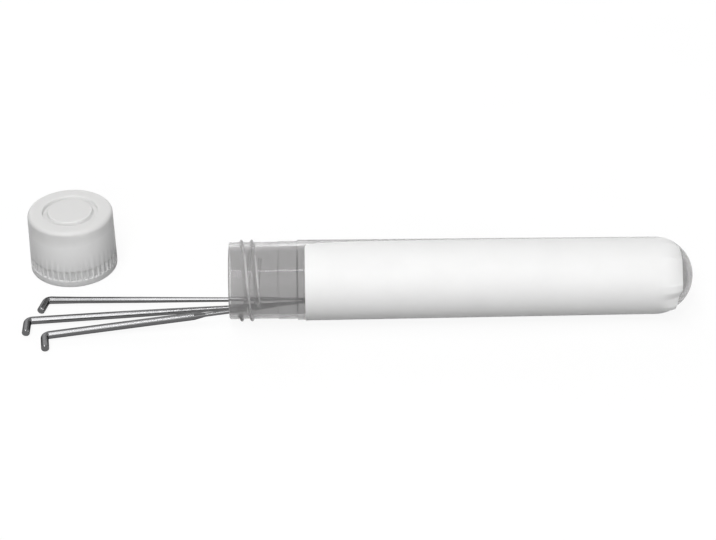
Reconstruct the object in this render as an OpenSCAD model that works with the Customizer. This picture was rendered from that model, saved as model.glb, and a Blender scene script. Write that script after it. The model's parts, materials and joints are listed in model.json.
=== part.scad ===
// Three felting needles in their clear storage tube, with the screw cap taken off.
// A table is at height 0. X runs along the tube from its mouth to its round end, Y points away
// from the viewer and Z points up. Sizes are in millimetres and angles in degrees.

/* [Tube] */
// Length from the mouth to the tip of the round end
tube_l = 95; // [80:1:120]
// Outer diameter of the neck between the threads
neck_d = 15.75; // [13:0.05:19]
// Wall at the neck
neck_wall = 0.85; // [0.7:0.05:1.1]
// Length of the neck, from the mouth to the collar
neck_l = 10; // [9:0.1:12.5]
// Length of the collar, from the neck to the body
collar_l = 3.9; // [3:0.1:5]
// Height of the collar's step above the neck
collar_step = 0.12; // [0.1:0.01:0.2]
// Height of the body's step above the collar
body_step = 0.23; // [0.15:0.01:0.3]
// Draft of the outside of the body, each side
outer_draft = 0.27; // [0.1:0.01:0.35]
// Draft of the inside, each side
core_draft = 0.05; // [0.02:0.01:0.1]

/* [Thread of the tube] */
// Height of the ridge above the neck
thread_h = 0.53; // [0.4:0.01:0.65]
// Width of the ridge at its foot
thread_foot_w = 0.95; // [0.8:0.05:1.2]
// Width of the ridge at its crest
thread_crest_w = 0.35; // [0.25:0.05:0.5]
// Advance of a ridge in a full turn
thread_lead = 4.2; // [3.4:0.1:5]
// Angle that each of the two ridges covers
thread_turn = 345; // [300:5:350]
// Distance of the start of the ridges from the mouth
thread_from = 2.2; // [2:0.1:3.2]
// Angle at which the first ridge starts, from the top towards the viewer
thread_start = -60; // [-90:5:0]

/* [Label] */
// Distance of the label's left edge from the mouth
label_from = 15.5; // [14.5:0.1:20]
// Distance of the label's right edge from the tip of the round end
label_end_gap = 3.6; // [3:0.1:6]
// Angle of the tube that the label covers
label_wrap = 318; // [240:1:340]
// Angle of the label's upper edge, from the top away from the viewer
label_upper_edge = 13; // [0:1:30]
// Thickness of the paper
label_t = 0.12; // [0.08:0.01:0.2]
// Play between the paper and the tube
label_play = 0.02; // [0.01:0.01:0.05]

/* [Cap] */
// Height of the cap
cap_h = 13.4; // [12.6:0.1:16.2]
// Wall at the open rim
cap_wall = 0.65; // [0.5:0.05:1]
// How much smaller the outer radius is at the closed top than at the open rim
cap_taper = 0.2; // [0.1:0.05:0.3]
// Thickness of the closed top
cap_top_t = 1.4; // [1.2:0.1:1.8]
// Radius of the rounded edge at the top
cap_edge_r = 0.9; // [0.5:0.1:1.2]
// Play between the cap's bore and the crests of the tube's thread
cap_thread_play = 0.1; // [0.05:0.01:0.2]
// Height of the plain band under the grip ribs
cap_band_h = 1.45; // [1:0.05:2]
// Height of the grip ribs
rib_l = 6.3; // [4:0.1:7]
// Number of grip ribs
rib_count = 44; // [30:1:50]
// Depth of the grooves between the ribs
rib_depth = 0.12; // [0.1:0.01:0.14]
// Height of the slots under the grooves
slot_l = 2.2; // [1.5:0.05:2.6]
// Width of a slot
slot_w = 0.75; // [0.6:0.01:0.8]
// Depth of a slot
slot_depth = 0.35; // [0.25:0.01:0.4]
// Height of the plain line between the slots and the grooves
slot_land = 0.25; // [0.15:0.05:0.4]
// Outer diameter of the ring groove in the top
groove_d = 11.6; // [11:0.1:12]
// Width of the ring groove in the top
groove_w = 1.15; // [0.8:0.05:1.4]
// Depth of the ring groove in the top
groove_depth = 0.8; // [0.5:0.05:0.9]
// Length of the sealing plug inside the cap
plug_l = 2.4; // [1.5:0.1:3]
// Wall of the sealing plug
plug_wall = 0.8; // [0.6:0.05:1]
// Play between the sealing plug and the tube's bore
plug_play = 0.05; // [0.02:0.01:0.1]
// Distance of the cap's axis from the mouth, away from the tube
cap_out = 34; // [32:0.5:40]
// Distance of the cap's axis behind the tube
cap_back = 20.1; // [19:0.1:24]

/* [All needles] */
// Length of a needle from its crank to its tip
needle_l = 76.2; // [63:0.1:92]
// Radius of the middle line of the bend
bend_r = 1; // [0.95:0.05:1.4]
// How much thinner the wire's radius is in the bend
bend_thinning = 0.01; // [0.005:0.005:0.03]
// Distance across the corners of the three-sided blade, from its axis
blade_r = 0.33; // [0.28:0.01:0.36]
// Distance from the bend at which the blade starts
blade_from = 49.5; // [48.5:0.1:52]
// Length of the sharpened tip
tip_l = 4; // [3:0.1:5]
// Distance between neighbouring barbs
barb_step = 2.8; // [2:0.1:3]
// Number of barbs
barb_count = 6; // [3:1:7]
// Depth of a barb's notch
barb_depth = 0.09; // [0.06:0.01:0.12]
// Length of a barb's notch
barb_l = 0.7; // [0.5:0.05:0.9]
// Chamfer at the cut end of a crank
crank_chamfer = 0.2; // [0.1:0.05:0.3]
// Height of a crank above the table
table_gap = 0.03; // [0.02:0.01:0.05]

/* [Fine needle, the far one] */
// Diameter of its crank
fine_d = 1.58; // [1.4:0.01:1.7]
// Length of its crank
fine_crank_l = 4.05; // [3.5:0.05:5]
// Angle between its crank and its shank
fine_crank_angle = 99; // [90:1:100]
// Distance of its bend from the mouth
fine_out = 38.4; // [38:0.1:40]
// Distance of its bend behind the tube's axis
fine_back = 5.2; // [5:0.1:6]
// Where it crosses the lip, from the bottom away from the viewer
fine_lip_angle = 17; // [15:0.25:20]
// Height of its shank above the lip
fine_lip_gap = 0.35; // [0.3:0.01:0.4]

/* [Medium needle, the middle one] */
// Diameter of its crank
medium_d = 1.63; // [1.4:0.01:1.7]
// Length of its crank
medium_crank_l = 4.45; // [3.5:0.05:4.6]
// Angle between its crank and its shank
medium_crank_angle = 92; // [90:1:96]
// Distance of its bend from the mouth
medium_out = 41.7; // [41:0.1:43]
// Distance of its bend in front of the tube's axis
medium_front = 2.2; // [2:0.1:2.3]
// Where it crosses the lip, from the bottom towards the viewer
medium_lip_angle = 3.75; // [3:0.25:6]
// Height of its shank above the lip
medium_lip_gap = 0.1; // [0.08:0.01:0.15]

/* [Coarse needle, the near one] */
// Diameter of its crank
coarse_d = 1.63; // [1.4:0.01:1.7]
// Length of its crank
coarse_crank_l = 4.65; // [3.5:0.05:5.5]
// Angle between its crank and its shank
coarse_crank_angle = 89; // [86:1:92]
// Distance of its bend from the mouth
coarse_out = 37.75; // [37:0.05:38.5]
// Distance of its bend in front of the tube's axis
coarse_front = 7.55; // [7.5:0.05:8]
// Where it crosses the lip, from the bottom towards the viewer
coarse_lip_angle = 34; // [30:0.5:36]
// Height of its shank above the lip
coarse_lip_gap = 0.3; // [0.25:0.01:0.35]

/* [Hidden] */
$fn = 96;

// Shank of each needle, as pairs of distance from the bend and diameter
fine_shank = [[7, 1.38], [20, 1.27], [37, 0.96], [46, 0.9]];
medium_shank = [[20, 1.52], [29, 1.36], [41, 1.0], [46, 0.92]];
coarse_shank = [[30.6, coarse_d], [33, 0.88], [46, 0.85]];

// Radii of the tube
neck_r = neck_d / 2;
collar_r = neck_r + collar_step;
body_r = collar_r + body_step;
body_from = neck_l + collar_l;
end_r = body_r - tan(outer_draft) * (tube_l - body_r - body_from);
end_x = tube_l - end_r;
bore_r = neck_r - neck_wall;
bore_end_r = bore_r - tan(core_draft) * end_x;
thread_r = neck_r + thread_h;
lip_chamfer = 0.2;

// Paper of the label
label_r = label_play + label_t;
label_creases = 4;
label_fold = asin((end_r - label_end_gap) / end_r);
function fold_r(height) = (end_r + height) / cos(label_fold / label_creases / 2);

// The tube lies on the crest of its thread and on the label over the start of its round end
crest_x = thread_from + thread_lead * (180 - thread_start) / 360;
tube_slope = atan((thread_r - fold_r(label_r)) / (end_x - crest_x));
tube_h = crest_x * sin(tube_slope) + thread_r * cos(tube_slope);

// The cap fits over the tube's thread, and its plug fits into the tube's bore
cap_bore_r = thread_r + cap_thread_play;
cap_rim_r = cap_bore_r + cap_wall;
plug_r = bore_r - plug_play;
ceiling_z = cap_h - cap_top_t;

// Records of the needles: diameter, crank length, crank angle, bend, lip angle, lip gap, shank
fine = [fine_d, fine_crank_l, fine_crank_angle, [-fine_out, fine_back],
    fine_lip_angle, fine_lip_gap, fine_shank];
medium = [medium_d, medium_crank_l, medium_crank_angle, [-medium_out, -medium_front],
    -medium_lip_angle, medium_lip_gap, medium_shank];
coarse = [coarse_d, coarse_crank_l, coarse_crank_angle, [-coarse_out, -coarse_front],
    -coarse_lip_angle, coarse_lip_gap, coarse_shank];

// The origin is under the middle of the whole group
reach_left = medium_out + medium_d / 2;
reach_front = coarse_front + coarse_crank_l;
reach_back = cap_back + cap_rim_r;
origin = [(tube_l - reach_left) / 2, (reach_back - reach_front) / 2, 0];

// Points of an arc about a centre
function arc(c, r, from, to, n = 10) =
    [for (i = [0:n]) c + r * [cos(from + (to - from) * i / n), sin(from + (to - from) * i / n)]];

// A point of the tube, given from its mouth along its axis, in the frame of the table
function on_tube(p) = [
    p[0] * cos(tube_slope) + p[2] * sin(tube_slope),
    p[1],
    tube_h - p[0] * sin(tube_slope) + p[2] * cos(tube_slope)];

// Where a needle bends, where its axis crosses the lip, and the turn and rise of its shank
function bend_point(n) = [n[3][0], n[3][1], n[0] / 2 + table_gap];
function shank_at(n, d) = lookup(d, concat([[0, n[0]]], n[6])) / 2;
function lip_radius(n) = bore_r - n[5] - shank_at(n, -n[3][0]);
function lip_point(n) = on_tube([0, lip_radius(n) * sin(n[4]), -lip_radius(n) * cos(n[4])]);
function shank_run(n) = lip_point(n) - bend_point(n);
function shank_turn(n) = atan2(shank_run(n)[1], shank_run(n)[0]);
function shank_rise(n) = atan2(shank_run(n)[2], norm([shank_run(n)[0], shank_run(n)[1]]));

// A screw ridge about Z that climbs to the right, and fades in and out at its ends
module ridge(foot_r, crest_r, foot_w, crest_w, lead, turn) {
    bite = 0.15 * sign(foot_r - crest_r);
    steps = 60;
    fade = 4;
    profile = [[foot_r + bite, -foot_w / 2], [crest_r, -crest_w / 2],
        [crest_r, crest_w / 2], [foot_r + bite, foot_w / 2]];
    points = [for (i = [0:steps], p = profile)
        let (a = turn * i / steps,
            grown = min(1, (1 + min(i, steps - i)) / fade),
            r = profile[0][0] + (p[0] - profile[0][0]) * grown)
        [r * cos(a), r * sin(a), p[1] + lead * a / 360]];
    sides = [for (i = [0:steps - 1], j = [0:3])
        let (a = 4 * i + j, b = 4 * i + (j + 1) % 4)
        each [[a, a + 4, b + 4], [a, b + 4, b]]];
    ends = [[0, 1, 2], [0, 2, 3], [4 * steps, 4 * steps + 2, 4 * steps + 1],
        [4 * steps, 4 * steps + 3, 4 * steps + 2]];
    faces = concat(sides, ends);
    inward = crest_r < foot_r;
    polyhedron(points, inward ? faces : [for (f = faces) [f[0], f[2], f[1]]]);
}

// Puts what is built from its mouth up Z where the tube lies
module lay_tube() {
    translate([0, 0, tube_h]) rotate([0, 90 + tube_slope, 0]) children();
}

module tube_outside() {
    cylinder(h = lip_chamfer, r1 = neck_r - lip_chamfer, r2 = neck_r);
    translate([0, 0, lip_chamfer]) cylinder(h = neck_l - lip_chamfer, r = neck_r);
    translate([0, 0, neck_l]) cylinder(h = collar_step, r1 = neck_r, r2 = collar_r);
    translate([0, 0, neck_l + collar_step]) cylinder(h = collar_l - collar_step, r = collar_r);
    translate([0, 0, body_from]) cylinder(h = body_step, r1 = collar_r, r2 = body_r);
    translate([0, 0, body_from + body_step])
        cylinder(h = end_x - body_from - body_step, r1 = body_r, r2 = end_r);
    translate([0, 0, end_x]) intersection() {
        sphere(end_r);
        cylinder(h = 2 * end_r, r = 2 * end_r);
    }
}

module tube_inside() {
    translate([0, 0, -lip_chamfer]) cylinder(h = 2 * lip_chamfer, r1 = bore_r + 2 * lip_chamfer, r2 = bore_r);
    cylinder(h = end_x, r1 = bore_r, r2 = bore_end_r);
    translate([0, 0, end_x]) intersection() {
        sphere(bore_end_r);
        translate([0, 0, -end_r / 2]) cylinder(h = 2 * end_r, r = 2 * end_r);
    }
}

module tube() {
    color([0.72, 0.73, 0.74, 0.45]) lay_tube() {
        difference() {
            tube_outside();
            tube_inside();
        }
        for (first = [0, 180])
            rotate([0, 0, 180 + thread_start + first]) translate([0, 0, thread_from])
                ridge(neck_r, thread_r, thread_foot_w, thread_crest_w, thread_lead, thread_turn);
    }
}

// One face of the paper, at a height above the tube, creased over the shoulder of the round end
function paper_face(height) = concat(
    [[body_r - tan(outer_draft) * (label_from - body_from - body_step) + height, label_from]],
    arc([0, end_x], fold_r(height), 0, label_fold, label_creases));

module label() {
    outer = paper_face(label_r);
    color("white") lay_tube() rotate([0, 0, 180 - label_upper_edge])
        rotate_extrude(angle = label_wrap)
            polygon(concat(paper_face(label_play), [for (i = [len(outer) - 1:-1:0]) outer[i]]));
}

// Outline of the cap from its axis outwards, standing on its open rim
module cap_outline() {
    groove_r = groove_d / 2;
    island_r = groove_r - groove_w;
    groove_z = cap_h - groove_depth;
    edge = [cap_rim_r - cap_taper - cap_edge_r, cap_h - cap_edge_r];
    polygon(concat(
        [[0, ceiling_z], [0, cap_h], [island_r, cap_h], [island_r + 0.2, groove_z]],
        [[groove_r - 0.1, groove_z], [groove_r, cap_h - 0.2], [groove_r + 0.2, cap_h]],
        arc(edge, cap_edge_r, 90, 0),
        [[cap_rim_r, cap_band_h], [cap_rim_r, 0.3], [cap_rim_r - 0.3, 0]],
        [[cap_bore_r + 0.15, 0], [cap_bore_r, 0.15], [cap_bore_r, ceiling_z]],
        [[plug_r, ceiling_z], [plug_r, ceiling_z - plug_l + 0.4], [plug_r - 0.3, ceiling_z - plug_l]],
        [[plug_r - plug_wall, ceiling_z - plug_l], [plug_r - plug_wall, ceiling_z]]));
}

// The grooves that leave the grip ribs between them, each with a deeper slot under it
module rib_grooves() {
    groove_r = 7 * rib_depth;
    groove_from = slot_l + slot_land;
    lean = atan(cap_taper / (cap_h - cap_edge_r - cap_band_h));
    for (i = [0:rib_count - 1])
        rotate([0, 0, 360 * i / rib_count]) translate([cap_rim_r, 0, cap_band_h]) {
            translate([-slot_depth, -slot_w / 2, 0]) cube([1, slot_w, slot_l]);
            rotate([0, -lean, 0]) translate([groove_r - rib_depth, 0, groove_from])
                cylinder(h = rib_l - groove_from, r = groove_r);
        }
}

// Each inner ridge runs behind one of the tube's, so that screwing the cap on draws it down
module cap_thread() {
    foot_w = thread_lead / 2 - thread_foot_w - 0.35;
    ridge_z = ceiling_z - thread_from - thread_lead;
    for (first = [0, 180])
        rotate([0, 0, first]) translate([0, 0, ridge_z - thread_lead / 4])
            ridge(cap_bore_r, neck_r + cap_thread_play, foot_w, foot_w / 2, thread_lead, 300);
}

module cap() {
    color([0.9, 0.9, 0.9]) translate([-cap_out, cap_back, 0]) {
        difference() {
            rotate_extrude() cap_outline();
            rib_grooves();
        }
        cap_thread();
    }
}

// The wire runs straight from a little inside the bend, where it is drawn thinner
function straight_from(n) = bend_r * tan((180 - n[2]) / 2) - 0.05;

// Crank and bend, with the shank starting along X at the end of the bend
module crank(n) {
    r = n[0] / 2;
    turn = 180 - n[2];
    translate([bend_r * tan(turn / 2), -bend_r, 0]) rotate([0, 0, 90])
        rotate_extrude(angle = turn) translate([bend_r, 0]) circle(r - bend_thinning);
    rotate([0, 0, -n[2]]) rotate([0, 90, 0]) rotate_extrude()
        polygon([[0, straight_from(n)], [r, straight_from(n)], [r, n[1] - crank_chamfer],
            [r - crank_chamfer, n[1]], [0, n[1]]]);
}

module shank(n) {
    from = straight_from(n);
    stations = concat([[from, n[0]]], n[6], [[blade_from, 1.8 * blade_r]]);
    rotate([0, 90, 0]) rotate_extrude()
        polygon(concat([[0, from]], [for (s = stations) [s[1] / 2, s[0]]], [[0, blade_from]]));
}

// A three-sided blade with a sharp tip, its corners notched by barbs
module blade(roll) {
    first_barb = needle_l - tip_l - 1;
    rotate([roll, 0, 0]) difference() {
        intersection() {
            translate([blade_from - 0.5, 0, 0]) rotate([0, 90, 0])
                linear_extrude(needle_l - blade_from + 0.5) circle(blade_r, $fn = 3);
            rotate([0, 90, 0]) rotate_extrude()
                polygon([[0, blade_from - 0.5], [blade_r, blade_from], [blade_r, needle_l - tip_l],
                    [0.03, needle_l], [0, needle_l]]);
        }
        for (i = [0:barb_count - 1])
            rotate([120 * i, 0, 0]) translate([first_barb - barb_step * i, 0.5, -blade_r])
                rotate([90, 0, 0]) linear_extrude(1)
                    polygon([[0, barb_depth], [barb_l, 0], [barb_l, -0.1], [0, -0.1]]);
    }
}

module needle(n, roll) {
    color([0.62, 0.62, 0.64]) translate(bend_point(n)) rotate([0, -shank_rise(n), shank_turn(n)]) {
        crank(n);
        shank(n);
        blade(roll);
    }
}

// The blades cross flat to flat where the fine needle passes over the medium one
module fine_needle() {
    needle(fine, 180);
}

module medium_needle() {
    needle(medium, 0);
}

module coarse_needle() {
    needle(coarse, 180);
}

module about_origin() {
    translate(-origin) children();
}

about_origin() tube();
about_origin() label();
about_origin() cap();
about_origin() fine_needle();
about_origin() medium_needle();
about_origin() coarse_needle();
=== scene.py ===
import json
from math import cos, degrees, exp, pi, radians, sin, tan

import bmesh
import bpy
import numpy as np
from mathutils import Matrix, Vector


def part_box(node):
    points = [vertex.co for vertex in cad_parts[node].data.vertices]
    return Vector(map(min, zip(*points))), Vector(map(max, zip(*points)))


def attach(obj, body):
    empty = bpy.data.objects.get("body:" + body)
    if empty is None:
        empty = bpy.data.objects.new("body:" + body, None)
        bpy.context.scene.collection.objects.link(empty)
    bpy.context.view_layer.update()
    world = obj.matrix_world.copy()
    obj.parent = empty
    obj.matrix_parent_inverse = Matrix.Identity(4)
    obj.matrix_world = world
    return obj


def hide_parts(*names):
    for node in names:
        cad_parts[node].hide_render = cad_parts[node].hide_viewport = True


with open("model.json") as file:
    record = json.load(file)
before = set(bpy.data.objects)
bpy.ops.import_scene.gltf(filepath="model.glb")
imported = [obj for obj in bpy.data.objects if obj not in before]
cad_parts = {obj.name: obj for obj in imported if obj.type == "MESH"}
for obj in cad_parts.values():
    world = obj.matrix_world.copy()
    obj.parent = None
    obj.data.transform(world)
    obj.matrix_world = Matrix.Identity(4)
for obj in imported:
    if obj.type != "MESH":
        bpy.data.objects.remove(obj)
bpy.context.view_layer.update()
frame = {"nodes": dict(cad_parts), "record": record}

# Sizes are in millimetres and angles in degrees, as the part's source has them, unless a comment
# says otherwise.
MM = 0.001
# How far a ring of a profile may be from a radius and still count as lying on it
ON_RADIUS = 0.01

# The tube, from its mouth along its axis
TUBE_L = 95.0
NECK_R = 7.875
NECK_WALL = 0.85
NECK_L = 10.0
COLLAR_L = 3.9
COLLAR_R = NECK_R + 0.12
BODY_R = COLLAR_R + 0.23
BODY_FROM = NECK_L + COLLAR_L
OUTER_DRAFT = 0.27
CORE_DRAFT = 0.05
STEP_FILLET = 0.16
LIP_R = 0.22
TUBE_POINTS = 240

# The thread of the tube
THREAD_H = 0.52
THREAD_FOOT_W = 0.95
THREAD_CREST_W = 0.2
THREAD_LEAD = 4.2
THREAD_TURN = 345.0
THREAD_FROM = 2.2
THREAD_START = -60.0
THREAD_FADE = 22.0
# The last stretch of the neck before the collar, which carries no ridge
PLAIN_NECK_L = 1

# The label
LABEL_FROM = 15.5
LABEL_TO = 92.05
LABEL_T = 0.1
LABEL_PLAY = 0.03
LABEL_CORNER_R = 1.3
LABEL_FAR_EDGE = 305.0
LABEL_POINTS = 216
# The upper edge's angle at the round end, how far it turns towards the viewer near the mouth, and
# over what length
UPPER_EDGE = -18
UPPER_SKEW = 13
UPPER_SKEW_L = 18
# Angles of the creases past the body's end. The first number below them is how far the creases
# stand off, as a share of the radius, and the second lifts the pleats between them.
PLEATS = (-20, 0, 29, 74, 120, 166, 212, 258, 304, 330)
PLEAT_STAND = 0.035
PLEAT_LIFT = 0.6
# Pairs of an angle and the distance from the mouth at which the right edge ends there
LABEL_REACH = ((-18, 89.0), (-12, 90.3), (-6, 91.3), (0, 91.75), (11, 91.97), (30, 92.05),
               (83, 92.05), (100, 91.4), (125, 90.8), (146, 88.9), (170, 88.6))
# Pairs of an angle and the height at which the crumpled lower corner stands off there
CRUMPLE = ((72, 0), (85, 0.45), (97, 0.02), (112, 0.5), (128, 0.05), (145, 0))

# The cap, from its rim up
CAP_H = 13.4
CAP_RIM_R = 9.15
CAP_TAPER = 0.2
CAP_BORE_R = 8.505
CAP_TOP_T = 1.4
CAP_EDGE_R = 0.9
CAP_FOOT_R = 0.25
CAP_LIP_R = 0.15
CAP_BAND_H = 1.45
RIB_COUNT = 44
RIB_POINTS = 12
RIB_L = 6.3
RIB_DEPTH = 0.09
RIB_FOOT_L = 0.2
SLOT_L = 2.2
SLOT_DEPTH = 0.35
SLOT_END_L = 0.16
# Where a slot starts and how wide its side is, as shares of the distance from rib to rib
SLOT_FROM = 0.15
SLOT_SIDE = 0.06
# The face that closes the middle of the top, the round island about it, and the ring groove
CENTRE_R = 0.6
ISLAND_EDGE_R = 0.15
GROOVE_R = 5.8
GROOVE_W = 1.15
GROOVE_DEPTH = 0.75
GROOVE_LEAN = 0.1
GROOVE_FOOT_R = 0.35
GROOVE_EDGE_R = 0.25
# The sealing plug under the top
PLUG_R = 6.975
PLUG_WALL = 0.8
PLUG_L = 2.4
# The cap's own ridges. They start below the tube's by this many leads, and the last two numbers
# are half their width at the foot and at the crest.
CAP_THREAD_LEADS = 1.25
CAP_THREAD_TURN = 300.0
CAP_RIDGE_FOOT = 0.4
CAP_RIDGE_CREST = 0.15

# The floor's half length and how far it lies below the table's height, in metres
FLOOR_HALF = 6.0
FLOOR_DROP = 0.00002

# Light that the surroundings give to matt surfaces, where white is 1
WORLD_LEVEL = 0.11

# The camera, fitted to the photograph
IMAGE_W = 716
FOCAL_PX = 2238.2
CAMERA_AT = (-6.2525, -388.475, 265.34)
CAMERA_TILT = 33.844
CAMERA_YAW = 0.956
CAMERA_ROLL = 0.463

# Where the lights point, the middle of the needles' bare lengths, in metres
TARGET = (-0.045, -0.012, 0.005)

# Soft boxes, each with its place aside, its elevation, its distance and size in metres, and its
# power in watts. The wires mirror the arch to the viewer, and the neck mirrors the line light.
LAMPS = (
    ("arch_front", -0.17, 33, 0.8, (0.24, 0.24), 1.17),
    ("arch_rise", -0.15, 51, 0.8, (0.25, 0.25), 1.17),
    ("arch_top", -0.175, 71, 0.8, (0.20, 0.27), 1.04),
    ("arch_over", -0.17, 93, 0.8, (0.15, 0.27), 0.72),
    ("front_fill", 0.2, 30, 1.0, (1.0, 0.4), 2.0),
    ("right_fill", 0.75, 16, 0.9, (0.5, 0.4), 1.4),
    ("back_fill", 0, 157, 0.8, (1.2, 0.65), 2.6),
    ("line_light", 0.007, 62.6, 0.7, (0.085, 0.045), 0.4),
    ("side_light", -0.384, 62, 0.7, (0.04, 0.04), 0.18))


def mount(name):
    """The place and axis of a mount of the record."""
    found = next(m for m in frame["record"]["mounts"] if m["name"] == name)
    return Vector(found["pos_m"]), Vector(found["axis"]).normalized()


def smooth(low, high, value):
    """From 0 at low to 1 at high, level at both ends."""
    t = np.clip((value - low) / (high - low), 0, 1)
    return t * t * (3 - 2 * t)


def arc(centre, radius, start, end, steps):
    """Points of an arc in a profile, both ends included."""
    return [(centre[0] + radius * cos(radians(a)), centre[1] + radius * sin(radians(a)))
            for a in np.linspace(start, end, steps)]


# Meshes
def mesh_object(name, points, faces, sharp_angle=40):
    """A smooth mesh with its normals outwards, sharp where faces meet at more than an angle."""
    mesh = bpy.data.meshes.new(name)
    mesh.from_pydata([tuple(p) for p in points], [], faces)
    mesh.validate()
    shape = bmesh.new()
    shape.from_mesh(mesh)
    bmesh.ops.recalc_face_normals(shape, faces=shape.faces)
    shape.to_mesh(mesh)
    shape.free()
    for polygon in mesh.polygons:
        polygon.use_smooth = True
    mesh.set_sharp_from_angle(angle=radians(sharp_angle))
    made = bpy.data.objects.new(name, mesh)
    bpy.context.scene.collection.objects.link(made)
    return made


def revolved(name, profile, around, place, radius, sharp_angle):
    """Turns a profile of (height, radius) about its axis and closes both ends with a flat face.
    radius(height, radius, angles) shapes each ring."""
    angles = np.linspace(0, 2 * pi, around, endpoint=False)
    points = []
    for height, r in profile:
        reach = radius(height, r, angles)
        points += [place(float(height), float(reach[i]), float(angles[i])) for i in range(around)]
    last = len(points) - around
    faces = [list(range(around)), list(range(last, last + around))]
    for first in range(0, last, around):
        for i in range(around):
            j = (i + 1) % around
            faces.append([first + i, first + j, first + around + j, first + around + i])
    return mesh_object(name, points, faces, sharp_angle)


# Places
MOUTH, MOUTH_AXIS = mount("tube_thread")
ALONG = -MOUTH_AXIS
ASIDE = Vector((0, 1, 0))
UP = ALONG.cross(ASIDE).normalized()


def on_tube(x, r, angle):
    """A point by its distance from the mouth, its radius, and its angle from the top towards the
    viewer in radians."""
    return MOUTH + MM * (x * ALONG + r * cos(angle) * UP - r * sin(angle) * ASIDE)


def cap_place():
    """A function for points of the cap by height, radius and angle in radians, about the middle of
    its CAD node."""
    low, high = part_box("cap")
    middle = (low + high) / 2

    def place(z, r, angle):
        return Vector((middle.x + MM * r * cos(angle), middle.y + MM * r * sin(angle), MM * z))

    return place


# Shape of the tube
END_R = BODY_R - tan(radians(OUTER_DRAFT)) * (TUBE_L - BODY_R - BODY_FROM)
END_X = TUBE_L - END_R
BORE_R = NECK_R - NECK_WALL
BORE_END_R = BORE_R - tan(radians(CORE_DRAFT)) * END_X
# Past this distance from the mouth the label's rows are drawn back to its right edge
DRAWN_FROM = END_X - 2


def thread_height(x, angles):
    """Height of the two ridges above the neck, rounded over their crests."""
    height = np.zeros(len(angles))
    for first in (0, 180):
        turned = (np.degrees(angles) - THREAD_START - first) % 360
        off = abs(x - THREAD_FROM - THREAD_LEAD * turned / 360)
        grown = smooth(0, THREAD_FADE, turned) * smooth(THREAD_TURN, THREAD_TURN - THREAD_FADE, turned)
        ridge = smooth(THREAD_FOOT_W / 2, THREAD_CREST_W / 2, off)
        height = np.maximum(height, THREAD_H * grown * ridge)
    return height


def step(x, low, high):
    """A moulded step of the tube, eased at both ends."""
    return [(x + STEP_FILLET * (t - 0.5), low + (high - low) * float(smooth(0, 1, t)))
            for t in np.linspace(0, 1, 7)]


def held(low, high):
    """Rings of a plain stretch, close together at its ends so that its shading stays flat."""
    near = np.array([0.04, 0.12, 0.3])
    return np.concatenate([low + near, np.linspace(low + 0.6, high - 0.6, 12), high - near[::-1]])


def tube_profile():
    """Rings from the round end over the body, the steps, the neck and the lip into the bore."""
    thread_end = THREAD_FROM + THREAD_LEAD + THREAD_FOOT_W
    half = STEP_FILLET / 2
    drafted_from = BODY_FROM + 3
    end = arc((END_X, 0), END_R, 1.5, 90, 32)
    body = [(x, BODY_R + (END_R - BODY_R) * (x - BODY_FROM) / (END_X - BODY_FROM))
            for x in np.linspace(END_X, drafted_from, 28)[1:]]
    body += [(x, BODY_R) for x in held(BODY_FROM + half, drafted_from)[::-1]]
    collar = [(x, COLLAR_R) for x in held(NECK_L + half, BODY_FROM - half)[::-1]]
    steps = step(BODY_FROM, COLLAR_R, BODY_R)[::-1] + collar + step(NECK_L, NECK_R, COLLAR_R)[::-1]
    neck = [(x, NECK_R) for x in held(thread_end, NECK_L - half)[::-1]]
    neck += [(x, NECK_R) for x in np.arange(thread_end, 1.2, -0.08)]
    neck += [(x, NECK_R) for x in (0.9, 0.5, 0.34, LIP_R + 0.04)]
    lip = (arc((LIP_R, NECK_R - LIP_R), LIP_R, 90, 180, 7)
           + arc((LIP_R, BORE_R + LIP_R), LIP_R, 180, 270, 7))
    bore_x = np.concatenate([[LIP_R + 0.04, 0.34, 0.5], np.linspace(1, END_X, 40)])
    bore = [(x, BORE_R + (BORE_END_R - BORE_R) * x / END_X) for x in bore_x]
    hollow = arc((END_X, 0), BORE_END_R, 88, 1.5, 28)
    return end + body + steps + neck + lip + bore + hollow


def make_tube():
    def reach(x, r, angles):
        threaded = r > NECK_R - ON_RADIUS and x < NECK_L - PLAIN_NECK_L
        return r + thread_height(x, angles) if threaded else np.full(len(angles), r)

    tube = revolved("clear_tube", tube_profile(), TUBE_POINTS, on_tube, reach, sharp_angle=60)
    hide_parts("tube")
    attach(tube, "storage_tube")
    return tube


# Shape of the label
def tube_radius(x):
    """The outer radius of the tube's body and of its round end."""
    if x < END_X:
        return BODY_R + (END_R - BODY_R) * (x - BODY_FROM) / (END_X - BODY_FROM)
    return (END_R ** 2 - (x - END_X) ** 2) ** 0.5


def paper_radius(x, angle):
    """The label lies on the body, and past its end runs in flat pleats between creases."""
    over = x - END_X
    if over <= 0:
        return tube_radius(x)
    before = max(p for p in PLEATS if p <= angle)
    after = min(p for p in PLEATS if p > angle)
    half = radians(after - before) / 2
    flat = cos(half) / cos(radians(angle - (before + after) / 2))
    lean = min(1, over / (LABEL_TO - END_X))
    touch = tube_radius(x)
    proud = touch * (1 + PLEAT_STAND * lean)
    return max(touch, proud * (1 - lean) + proud * flat * lean / cos(half) ** PLEAT_LIFT)


def label_reach(angle):
    """How far from the mouth the label's right edge is, with its lower corner drawn back."""
    return float(np.interp(angle, *zip(*LABEL_REACH)))


def drawn_back(x, angle):
    """Draws the rows of the label's right end back, so that the last one lies on its edge."""
    past = x - DRAWN_FROM
    if past <= 0:
        return float(x)
    return float(DRAWN_FROM + past * (label_reach(angle) - DRAWN_FROM) / (LABEL_TO - DRAWN_FROM))


def crumple(x, angle):
    """How far the crumpled corner stands off the tube, in flat facets."""
    return float(smooth(END_X - 0.5, LABEL_TO - 1, x)) * float(np.interp(angle, *zip(*CRUMPLE)))


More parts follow.
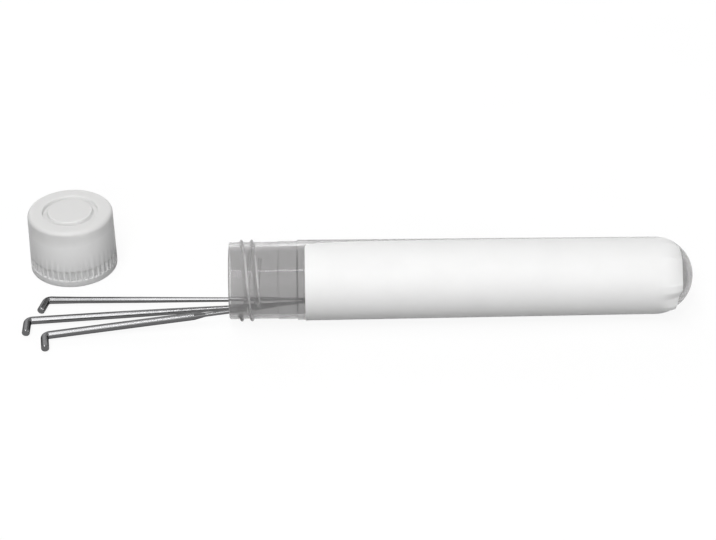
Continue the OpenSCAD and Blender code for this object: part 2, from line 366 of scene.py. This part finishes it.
def label_edge(x):
    """The angle of the label's upper edge, which runs a little askew to a rounded left corner."""
    askew = UPPER_EDGE + UPPER_SKEW * exp((LABEL_FROM - x) / UPPER_SKEW_L)
    into = LABEL_CORNER_R - (x - LABEL_FROM)
    if into <= 0:
        return askew
    cut = LABEL_CORNER_R - (LABEL_CORNER_R ** 2 - into ** 2) ** 0.5
    return askew + degrees(cut / BODY_R)


def make_label():
    """Two layers of rows along the tube, joined all round by a rim."""
    rows = np.concatenate([
        LABEL_FROM + LABEL_CORNER_R * (1 - np.cos(np.linspace(0, pi / 2, 8))),
        np.linspace(LABEL_FROM + LABEL_CORNER_R, END_X - 1, 40)[1:],
        np.linspace(END_X - 1, LABEL_TO, 22)[1:]])
    shares = np.linspace(0, 1, LABEL_POINTS)
    points = []
    for lift in (LABEL_PLAY, LABEL_PLAY + LABEL_T):
        for x in rows:
            first = label_edge(x)
            for share in shares:
                angle = first + (LABEL_FAR_EDGE - first) * share
                drawn = drawn_back(x, angle)
                off = paper_radius(drawn, angle) + crumple(drawn, angle) + lift
                points.append(on_tube(drawn, float(off), radians(angle)))
    across = len(shares)
    layer = len(rows) * across
    faces = []
    for i in range(len(rows) - 1):
        for j in range(across - 1):
            a = i * across + j
            inner = [a, a + 1, a + across + 1, a + across]
            faces.append(inner)
            faces.append([layer + k for k in reversed(inner)])
    rim = ([i * across for i in range(len(rows))]
           + [layer - across + j for j in range(1, across)]
           + [i * across + across - 1 for i in range(len(rows) - 2, -1, -1)]
           + list(range(across - 2, 0, -1)))
    for a, b in zip(rim, rim[1:] + rim[:1]):
        faces.append([a, b, layer + b, layer + a])
    label = mesh_object("paper_label", points, faces, sharp_angle=14)
    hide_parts("label")
    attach(label, "storage_tube")
    return label


# Shape of the cap
def upright(points):
    """Points of radius and height, turned into points of height and radius."""
    return [(z, r) for r, z in points]


def cap_profile():
    """Rings from the middle of the top over the groove, the skirt and the rim to the sealing plug."""
    ceiling = CAP_H - CAP_TOP_T
    groove_z = CAP_H - GROOVE_DEPTH
    island_r = GROOVE_R - GROOVE_W
    edge_at = CAP_RIM_R - CAP_TAPER - CAP_EDGE_R
    island_edge = island_r - ISLAND_EDGE_R
    inner_foot = island_r + GROOVE_LEAN + GROOVE_FOOT_R
    foot_z = groove_z + GROOVE_FOOT_R
    top = [(CAP_H, r) for r in np.linspace(CENTRE_R, island_edge, 8)]
    top += upright(arc((island_edge, CAP_H - ISLAND_EDGE_R), ISLAND_EDGE_R, 90, 0, 5))
    top += upright(arc((inner_foot, foot_z), GROOVE_FOOT_R, 180, 270, 8))
    top += upright(arc((GROOVE_R - GROOVE_FOOT_R, foot_z), GROOVE_FOOT_R, 270, 360, 8))
    top += upright(arc((GROOVE_R + GROOVE_EDGE_R, CAP_H - GROOVE_EDGE_R), GROOVE_EDGE_R, 180, 90, 5))
    top += upright(arc((edge_at, CAP_H - CAP_EDGE_R), CAP_EDGE_R, 90, 0, 14))
    rib_top = CAP_BAND_H + RIB_L
    slot_top = CAP_BAND_H + SLOT_L
    skirt_z = np.concatenate([
        np.linspace(CAP_H - CAP_EDGE_R, rib_top, 8)[1:],
        np.linspace(rib_top, slot_top, 14)[1:],
        slot_top - np.array([0.08, 0.16, 0.3]),
        np.linspace(slot_top - 0.5, CAP_BAND_H + 0.3, 5),
        CAP_BAND_H + np.array([0.16, 0.08, 0, -0.1])])
    skirt = [(z, CAP_RIM_R - CAP_TAPER * (z - CAP_BAND_H) / (CAP_H - CAP_BAND_H)) for z in skirt_z]
    rim = upright(arc((CAP_RIM_R - CAP_FOOT_R, CAP_FOOT_R), CAP_FOOT_R, 0, -90, 6))
    rim += upright(arc((CAP_BORE_R + CAP_LIP_R, CAP_LIP_R), CAP_LIP_R, 270, 180, 4))
    bore = [(z, CAP_BORE_R) for z in np.linspace(1, ceiling - 0.2, 60)]
    plug_z = ceiling - PLUG_L
    plug_bore = PLUG_R - PLUG_WALL
    plug = [(ceiling, CAP_BORE_R - 0.2), (ceiling, PLUG_R + 0.1), (ceiling - 0.1, PLUG_R),
            (plug_z + 0.4, PLUG_R), (plug_z + 0.1, PLUG_R - 0.15), (plug_z, PLUG_R - 0.3),
            (plug_z, plug_bore + 0.15), (plug_z + 0.15, plug_bore), (ceiling - 0.1, plug_bore),
            (ceiling, plug_bore - 0.1)]
    return top + skirt + rim + bore + plug


def cap_reach(z, r, angles):
    """Grooves between the grip ribs, cut deeper into short slots at their lower ends."""
    if r < CAP_BORE_R - ON_RADIUS:
        return np.full(len(angles), r)
    if r < CAP_BORE_R + ON_RADIUS:
        return r - cap_thread_height(z, angles)
    phase = (np.degrees(angles) * RIB_COUNT / 360) % 1
    groove = 0.5 - 0.5 * np.cos(2 * pi * phase)
    side = SLOT_FROM + SLOT_SIDE
    slot = smooth(SLOT_FROM, side, phase) * smooth(1 - SLOT_FROM, 1 - side, phase)
    slot_top = CAP_BAND_H + SLOT_L
    ribbed = float(smooth(CAP_BAND_H + RIB_L, slot_top, z)
                   * smooth(CAP_BAND_H, CAP_BAND_H + RIB_FOOT_L, z))
    slotted = float(smooth(CAP_BAND_H, CAP_BAND_H + SLOT_END_L, z)
                    * smooth(slot_top, slot_top - SLOT_END_L, z))
    return r - np.maximum(RIB_DEPTH * ribbed * groove, SLOT_DEPTH * slotted * slot)


def cap_thread_height(z, angles):
    """The two ridges inside the cap, which run behind those of the tube."""
    start_z = CAP_H - CAP_TOP_T - THREAD_FROM - CAP_THREAD_LEADS * THREAD_LEAD
    height = np.zeros(len(angles))
    for first in (0, 180):
        turned = (np.degrees(angles) - first) % 360
        off = abs(z - start_z - THREAD_LEAD * turned / 360)
        faded = smooth(CAP_THREAD_TURN, CAP_THREAD_TURN - THREAD_FADE, turned)
        ridge = smooth(CAP_RIDGE_FOOT, CAP_RIDGE_CREST, off)
        height = np.maximum(height, THREAD_H * smooth(0, THREAD_FADE, turned) * faded * ridge)
    return height


def make_cap():
    around = RIB_POINTS * RIB_COUNT
    cap = revolved("screw_cap", cap_profile(), around, cap_place(), cap_reach, sharp_angle=60)
    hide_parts("cap")
    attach(cap, "screw_cap")
    return cap


# Materials
class Look:
    """A material with one Principled shader and the textures that feed it."""

    def __init__(self, name, **sockets):
        self.material = bpy.data.materials.new(name)
        self.material.use_nodes = True
        self.tree = self.material.node_tree
        self.shader = self.tree.nodes["Principled BSDF"]
        for key, value in sockets.items():
            self.shader.inputs[key.replace("_", " ")].default_value = value

    def add(self, kind, **sockets):
        node = self.tree.nodes.new(kind)
        for key, value in sockets.items():
            self.set(node, key.replace("_", " "), value)
        return node

    def set(self, node, socket, value):
        if isinstance(value, bpy.types.NodeSocket):
            self.tree.links.new(value, node.inputs[socket])
        else:
            node.inputs[socket].default_value = value

    def feed(self, socket, value):
        self.set(self.shader, socket, value)

    def noise(self, scale, detail=3.0, stretch=(1, 1, 1)):
        """Noise in the object's own metres, drawn out along an axis whose stretch is small."""
        place = self.add("ShaderNodeTexCoord")
        mapping = self.add("ShaderNodeMapping", Vector=place.outputs["Object"], Scale=stretch)
        return self.add("ShaderNodeTexNoise", Vector=mapping.outputs["Vector"], Scale=scale,
                        Detail=detail).outputs["Fac"]

    def span(self, factor, low, high, start=0.3, end=0.7):
        """Maps a factor to a range of values."""
        node = self.add("ShaderNodeMapRange", Value=factor)
        for key, value in (("From Min", start), ("From Max", end), ("To Min", low), ("To Max", high)):
            node.inputs[key].default_value = value
        return node.outputs["Result"]

    def colours(self, factor, first, second, start=0.3, end=0.7):
        ramp = self.add("ShaderNodeValToRGB", Fac=factor)
        ramp.color_ramp.elements[0].position = start
        ramp.color_ramp.elements[1].position = end
        ramp.color_ramp.elements[0].color = (*first, 1)
        ramp.color_ramp.elements[1].color = (*second, 1)
        return ramp.outputs["Color"]

    def bump(self, height, distance, strength=1.0):
        node = self.add("ShaderNodeBump", Height=height, Distance=distance, Strength=strength)
        self.feed("Normal", node.outputs["Normal"])

    def onto(self, piece):
        piece.data.materials.clear()
        piece.data.materials.append(self.material)


def clear_plastic():
    """Clear plastic, darker towards its outline, where light goes a longer way through it."""
    look = Look("clear_plastic", IOR=1.47, Specular_IOR_Level=0.2, Transmission_Weight=0.82,
                Specular_Tint=(0.2, 0.2, 0.2, 1))
    cloud = look.noise(90, 4, (0.4, 1, 1))
    edge = look.add("ShaderNodeLayerWeight", Blend=0.5)
    path = look.span(edge.outputs["Facing"], 1, 0.5, 0.4, 0.98)
    depth = look.add("ShaderNodeMath", Value=look.span(cloud, 0.93, 1))
    depth.operation = "MULTIPLY"
    look.set(depth, 1, path)
    dark, light = (0.33, 0.328, 0.33), (0.635, 0.63, 0.63)
    look.feed("Base Color", look.colours(depth.outputs[0], dark, light, 0.5, 1))
    scuffs = look.noise(700, 6, (0.25, 1, 1))
    look.feed("Roughness", look.span(scuffs, 0.02, 0.07))
    look.bump(look.noise(900, 3, (0.2, 1, 1)), 0.000002, 0.4)
    return look


def white_film():
    """Matt white film with a faint grain."""
    look = Look("white_film", IOR=1.45, Specular_IOR_Level=0.12, Subsurface_Weight=0.2,
                Subsurface_Radius=(1, 1, 1), Subsurface_Scale=0.0003)
    low, high = (0.92, 0.92, 0.916), (0.95, 0.95, 0.946)
    look.feed("Base Color", look.colours(look.noise(140, 5), low, high))
    look.feed("Roughness", look.span(look.noise(500, 4), 0.42, 0.6))
    look.bump(look.noise(2600, 4), 0.000012, 0.5)
    return look


def milky_plastic():
    """Milky plastic with painted shade: whitest on its upper skirt, greyer on its flat top and towards
    its rim.
    """
    look = Look("milky_plastic", IOR=1.49, Specular_IOR_Level=0.14, Subsurface_Weight=0.9,
                Subsurface_Radius=(1, 1, 1), Subsurface_Scale=0.001)
    height = look.add("ShaderNodeSeparateXYZ", Vector=look.add("ShaderNodeTexCoord").outputs["Object"])
    cloud = look.add("ShaderNodeMath", Value=look.span(look.noise(120, 4), -0.0004, 0.0004))
    look.set(cloud, 1, height.outputs["Z"])
    # Heights in metres between which the painted shade changes
    low, high = 0.003, 0.0134
    painted_shade_height = look.span(cloud.outputs[0], 0, 1, low, high)
    # Painted shade: the colour is greyed on the flat top, its rounded edge and the lower skirt by how
    # light falls there
    milk = look.colours(painted_shade_height, (0.72, 0.72, 0.72), (0.96, 0.958, 0.952), 0, 0.66)
    top = milk.node.color_ramp.elements.new(0.94)
    top.color = (0.74, 0.738, 0.733, 1)
    look.feed("Base Color", milk)
    look.feed("Roughness", look.span(look.noise(600, 5), 0.34, 0.46))
    look.bump(look.noise(1500, 4), 0.000015, 0.6)
    return look


def drawn_steel():
    """Dark drawn wire, with fine marks along its length."""
    look = Look("drawn_steel", Metallic=1.0, Specular_Tint=(0.35, 0.35, 0.35, 1))
    streaks = look.noise(1800, 3, (0.06, 1, 1))
    look.feed("Base Color", look.colours(streaks, (0.12, 0.12, 0.122), (0.14, 0.14, 0.142)))
    look.feed("Roughness", look.span(streaks, 0.14, 0.18))
    return look


# Floor, light and camera
def make_floor():
    """A pale floor that shows white to the camera, to gloss and through glass, with a faint
    shadow."""
    half = FLOOR_HALF
    points = [(-half, -half, 0), (half, -half, 0), (half, half, 0), (-half, half, 0)]
    floor = mesh_object("floor", points, [(0, 1, 2, 3)])
    floor.location.z = -FLOOR_DROP
    look = Look("pale_floor", Emission_Color=(1, 1, 1, 1))
    white = seen_white(look.tree)
    bounced, seen = (0.15, 0.15, 0.15), (0.1, 0.1, 0.1)
    look.feed("Base Color", look.colours(white, bounced, seen, 0, 1))
    look.feed("Emission Strength", look.span(white, 0, 0.88, 0, 1))
    look.feed("Roughness", look.span(look.noise(40, 3), 0.85, 0.95))
    look.onto(floor)


def seen_white(tree):
    """1 for a ray from the camera, from gloss or through glass, and 0 for light that bounces."""
    paths = tree.nodes.new("ShaderNodeLightPath")
    first, both = (tree.nodes.new("ShaderNodeMath") for _ in range(2))
    first.operation = both.operation = "MAXIMUM"
    tree.links.new(paths.outputs["Is Camera Ray"], first.inputs[0])
    tree.links.new(paths.outputs["Is Glossy Ray"], first.inputs[1])
    tree.links.new(first.outputs[0], both.inputs[0])
    tree.links.new(paths.outputs["Is Transmission Ray"], both.inputs[1])
    return both.outputs[0]


def make_world():
    world = bpy.data.worlds.new("studio")
    bpy.context.scene.world = world
    world.use_nodes = True
    tree = world.node_tree
    back = tree.nodes["Background"]
    back.inputs["Color"].default_value = (1, 1, 1, 1)
    level = tree.nodes.new("ShaderNodeMapRange")
    level.inputs["To Min"].default_value = WORLD_LEVEL
    level.inputs["To Max"].default_value = 1.0
    tree.links.new(seen_white(tree), level.inputs["Value"])
    tree.links.new(level.outputs["Result"], back.inputs["Strength"])


def lamp(name, aside, elevation, distance, size, power):
    """A soft box that looks at the needles. Elevation 0 is level in front, 90 straight above and
    180 level behind, and aside below 0 is towards the left."""
    data = bpy.data.lights.new(name, "AREA")
    data.shape = "RECTANGLE"
    data.size, data.size_y = size
    data.energy = power
    made = bpy.data.objects.new(name, data)
    bpy.context.scene.collection.objects.link(made)
    around = (1 - aside ** 2) ** 0.5
    e = radians(elevation)
    way = Vector((aside, -cos(e) * around, sin(e) * around))
    across = (Vector((1, 0, 0)) - way * way.x).normalized()
    turn = Matrix((across, way.cross(across), way)).transposed().to_4x4()
    made.matrix_world = Matrix.Translation(Vector(TARGET) + way * distance) @ turn


def make_camera():
    """The camera of the photograph, turned by its yaw, its tilt down and its roll."""
    tilt, yaw, roll = radians(CAMERA_TILT), radians(CAMERA_YAW), radians(CAMERA_ROLL)
    look = Vector((sin(yaw) * cos(tilt), cos(yaw) * cos(tilt), -sin(tilt)))
    right = Vector((cos(yaw), -sin(yaw), 0))
    down = look.cross(right)
    right, down = right * cos(roll) + down * sin(roll), down * cos(roll) - right * sin(roll)
    data = bpy.data.cameras.new("camera")
    data.sensor_width = 36
    data.lens = FOCAL_PX / IMAGE_W * data.sensor_width
    camera = bpy.data.objects.new("camera", data)
    bpy.context.scene.collection.objects.link(camera)
    turn = Matrix((right, -down, -look)).transposed().to_4x4()
    camera.matrix_world = Matrix.Translation(MM * Vector(CAMERA_AT)) @ turn
    bpy.context.scene.camera = camera


clear_plastic().onto(make_tube())
white_film().onto(make_label())
milky_plastic().onto(make_cap())
steel = drawn_steel()
for needle in ("fine_needle", "medium_needle", "coarse_needle"):
    steel.onto(frame["nodes"][needle])

make_floor()
make_world()
for soft_box in LAMPS:
    lamp(*soft_box)
make_camera()
bpy.context.scene.view_settings.view_transform = "Standard"
